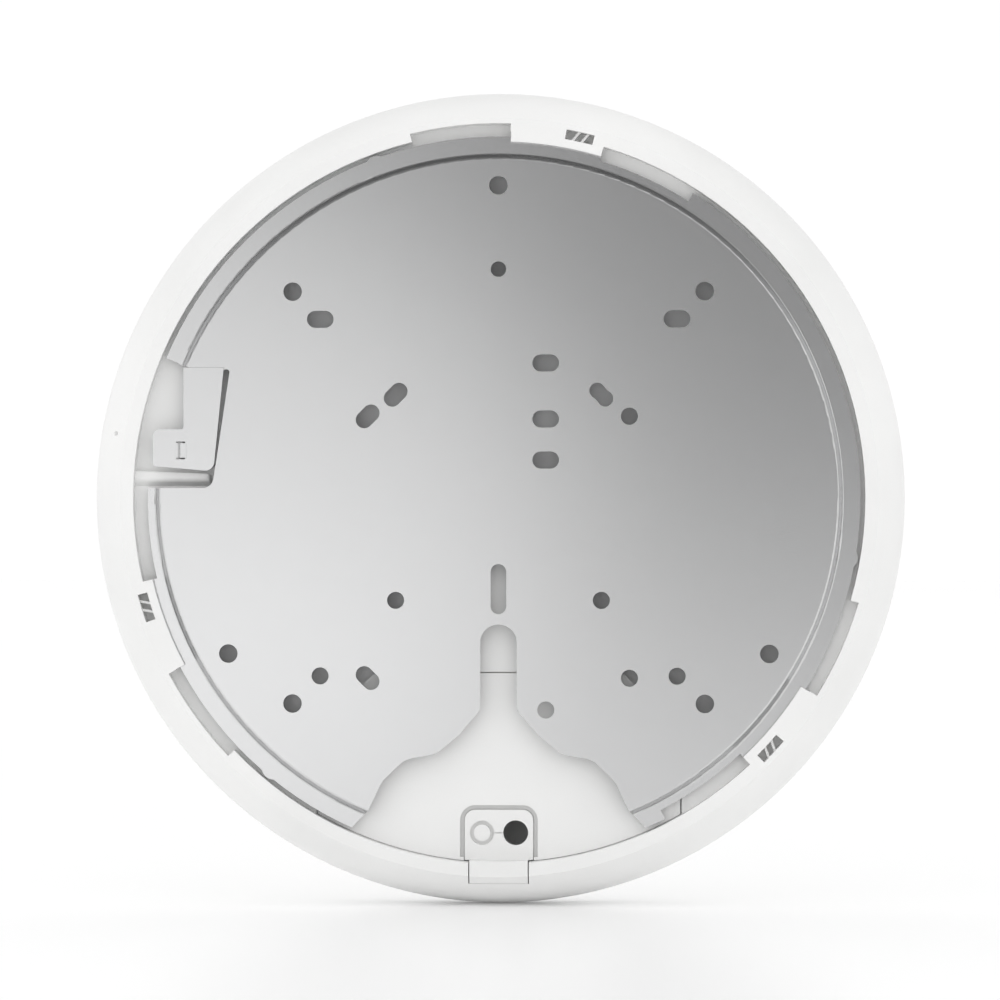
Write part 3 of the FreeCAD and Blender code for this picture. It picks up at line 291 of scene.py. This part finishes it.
FINISH = {
    # The plate's step line is darkened by painted shadow
    "mounting_plate": sheet_metal("plate_steel", SATIN, 0.22, uneven=0.2, step_shadow_radius=PLATE_STEP_R),
    # Painted shade: the lock arm's metal is six percent darker than the plate's
    "lock_arm": sheet_metal("arm_steel_painted_shade", shade(SATIN, 0.94), 0.22, uneven=0.2),
    "rear_shell": moulded("shell_white", WHITE),
    "jack_cover": moulded("cover_white", WHITE, 0.46),
    # The groove round the plug in this lid is darkened by painted shade
    "bay_lid": moulded("lid_white", WHITE, 0.46, shade_depth=LID_SHADE_DEPTH_Y),
    "cable_gland": moulded("gland_white", shade(WHITE, 0.985), 0.5, 2000.0),
    "front_cover": moulded("front_white", shade(WHITE, 1.01), 0.36, 3000.0, 0.15, 0.012),
    "front_cap": moulded("cap_white", shade(WHITE, 1.01), 0.36, 3000.0, 0.15, 0.012),
    "led_light_ring": frosted("ring_frosted", (0.80, 0.86, 0.92)),
    "metal_base": cast_metal("base_cast", (0.94, 0.94, 0.945)),
    "base_seal": soft("seal_foam", (0.06, 0.06, 0.06)),
    "base_screws": sheet_metal("base_screw_steel", SCREW, 0.3, 2600.0),
    "main_board": circuit_board("board_green", (0.02, 0.10, 0.06), (0.75, 0.55, 0.25),
                                (0.8, 0.8, 0.78)),
    "board_screws": sheet_metal("board_screw_steel", SCREW, 0.3, 2600.0),
    "processor_shield": sheet_metal("tin_one", TIN, 0.34, 2200.0),
    "low_band_shield": sheet_metal("tin_two", TIN, 0.34, 2200.0),
    "high_band_shield": sheet_metal("tin_three", TIN, 0.34, 2200.0),
    "thermal_pads": soft("pad_silicone", (0.30, 0.38, 0.52), 0.65, 2600.0),
    "processor_chip": package("processor_epoxy", (0.025, 0.025, 0.03)),
    "radio_chips": package("radio_epoxy", (0.03, 0.03, 0.032)),
    "memory_chips": package("memory_epoxy", (0.022, 0.022, 0.026), 0.56),
    "bay_tray": moulded("tray_white", shade(WHITE, 0.96), 0.5),
    "ethernet_jack": moulded("jack_black", (0.03, 0.03, 0.034), 0.45),
    "jack_shell": sheet_metal("jack_tin", (0.68, 0.67, 0.64), 0.32, 2200.0),
    "ethernet_contacts": sheet_metal("contact_gold", (0.85, 0.62, 0.25), 0.22, 5000.0),
    "reset_button": moulded("button_dark", (0.08, 0.08, 0.085), 0.48),
    "reset_switch": package("switch_black", (0.03, 0.03, 0.033), 0.45),
    "jack_transformer": package("transformer_epoxy", (0.025, 0.025, 0.028), 0.55),
    "power_inductors": package("inductor_ferrite", (0.12, 0.12, 0.125), 0.62),
    "capacitors": sheet_metal("capacitor_can", (0.72, 0.72, 0.74), 0.26, 3000.0),
    "led_ribbon": film("ribbon_amber", (0.55, 0.32, 0.09)),
    "led_carrier": moulded("carrier_dark", (0.09, 0.09, 0.095), 0.5),
    "led_board": circuit_board("board_white", (0.74, 0.74, 0.72), (0.8, 0.6, 0.3),
                               (0.2, 0.2, 0.2)),
    "led_chips": frosted("led_epoxy", (0.92, 0.86, 0.45)),
    "led_screws": sheet_metal("led_screw_steel", SCREW, 0.3, 2600.0),
    "antenna_carrier": moulded("antenna_plastic", (0.12, 0.12, 0.125), 0.5),
    "low_band_antennas": sheet_metal("low_brass", BRASS, 0.3, 2600.0),
    "high_band_antennas": sheet_metal("high_brass", BRASS, 0.3, 2600.0),
    "low_band_leads": jacket("lead_black", (0.04, 0.04, 0.043)),
    "high_band_leads": jacket("lead_grey", (0.35, 0.35, 0.36)),
    "lead_plugs": sheet_metal("plug_gold", (0.85, 0.66, 0.34), 0.24, 4000.0),
}

for name, material in FINISH.items():
    mesh = nodes[name].data
    mesh.materials.clear()
    mesh.materials.append(material)


# ------------------------------------------------------------------ stage

def stage_floor():
    size = 6.0
    z = -OUTER_R
    mesh = bpy.data.meshes.new("stage_floor")
    mesh.from_pydata([(-size, -size, z), (size, -size, z), (size, size, z), (-size, size, z)],
                     [], [(0, 1, 2, 3)])
    floor = bpy.data.objects.new("stage_floor", mesh)
    scene.collection.objects.link(floor)
    s = Sheet("stage_white")
    tone = s.mix(s.ramp(s.noise(3.0, 2.0), 0.0, 1.0), (0.96, 0.96, 0.96), (0.98, 0.98, 0.98))
    mesh.materials.append(s.finish(tone, 0.35, Emission_Color=(1.0, 1.0, 1.0),
                                   Emission_Strength=0.06))


def facing(obj, place, aim):
    """Put a lamp or camera at a place, looking at its aim."""
    obj.location = place
    obj.rotation_mode = "QUATERNION"
    obj.rotation_quaternion = (Vector(aim) - Vector(place)).to_track_quat("-Z", "Y")
    scene.collection.objects.link(obj)
    return obj


def key_lamp():
    data = bpy.data.lights.new("key", "AREA")
    data.shape = "DISK"
    data.size = LAMP_SIZE
    data.energy = LAMP_POWER
    facing(bpy.data.objects.new("key", data), LAMP, LAMP_AIM)


def studio_world():
    """White surround with a dark patch that only shiny faces mirror.

    Matt faces see an even white that falls off towards the front, below and to one side.
    """
    world = bpy.data.worlds.new("studio")
    world.use_nodes = True
    tree = world.node_tree
    tree.nodes.clear()
    place = tree.nodes.new("ShaderNodeTexCoord").outputs["Generated"]

    def towards(side):
        node = tree.nodes.new("ShaderNodeVectorMath")
        node.operation = "DOT_PRODUCT"
        node.inputs[1].default_value = Vector(side).normalized()
        tree.links.new(place, node.inputs[0])
        return node.outputs["Value"]

    def fade(value, edges, levels):
        node = tree.nodes.new("ShaderNodeMapRange")
        node.interpolation_type = "SMOOTHSTEP"
        for name, number in zip(("From Min", "From Max", "To Min", "To Max"), edges + levels):
            node.inputs[name].default_value = number
        tree.links.new(value, node.inputs["Value"])
        return node.outputs["Result"]

    shiny = tree.nodes.new("ShaderNodeMath")
    shiny.operation = "MULTIPLY"
    tree.links.new(fade(towards(PATCH_SIDE), PATCH_EDGES, PATCH_LEVELS), shiny.inputs[0])
    tree.links.new(fade(towards((0.0, 0.0, 1.0)), ROOF_EDGES, ROOF_LEVELS), shiny.inputs[1])
    matt = fade(towards(DIM_SIDE), (0.0, 1.0), FILL_LEVELS)
    path = tree.nodes.new("ShaderNodeLightPath")
    level = tree.nodes.new("ShaderNodeMix")
    tree.links.new(path.outputs["Is Diffuse Ray"], level.inputs["Factor"])
    tree.links.new(shiny.outputs["Value"], level.inputs["A"])
    tree.links.new(matt, level.inputs["B"])
    back = tree.nodes.new("ShaderNodeBackground")
    back.inputs["Color"].default_value = (1.0, 1.0, 1.0, 1.0)
    tree.links.new(level.outputs["Result"], back.inputs["Strength"])
    out = tree.nodes.new("ShaderNodeOutputWorld")
    tree.links.new(back.outputs["Background"], out.inputs["Surface"])
    scene.world = world


def camera():
    data = bpy.data.cameras.new("main")
    data.lens = LENS_MM
    data.sensor_width = 36.0
    data.clip_end = 50.0
    scene.camera = facing(bpy.data.objects.new("main_camera", data), EYE, EYE_AIM)


stage_floor()
studio_world()
key_lamp()
camera()
scene.view_settings.view_transform = "Standard"
scene.view_settings.look = "None"
